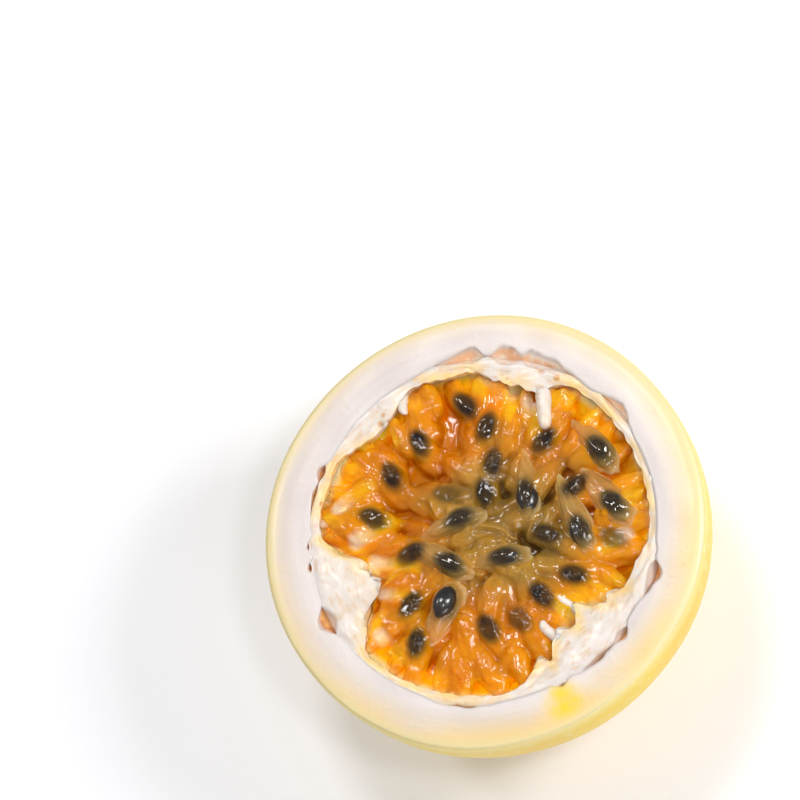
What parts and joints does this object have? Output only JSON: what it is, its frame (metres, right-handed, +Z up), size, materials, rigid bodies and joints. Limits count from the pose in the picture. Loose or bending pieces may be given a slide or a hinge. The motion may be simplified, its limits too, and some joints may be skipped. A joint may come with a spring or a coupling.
{
  "type": "passion fruit half",
  "caption": "Half a yellow passion fruit, cut across and laid cut face up, with thick pale rind, white lining, and orange pulp full of dark seeds.",
  "frame": {"origin": "centre of the small flat spot that the half rests on", "axes": "+Z up, square to the cut face and away from the resting spot; +X along the cut face, across from the largest placenta; +Y towards the upper placenta"},
  "size_m": [0.0706, 0.07, 0.0392],
  "materials": {
    "skin": "waxy, with pale dots",
    "flesh": "moist cut",
    "lining": "moist",
    "gel": "wet, clear",
    "seed": "dark, pitted"
  },
  "bodies": {
    "root": {"rind": "flesh", "lining": "lining", "pulp": "gel"}
  },
  "joints": []
}
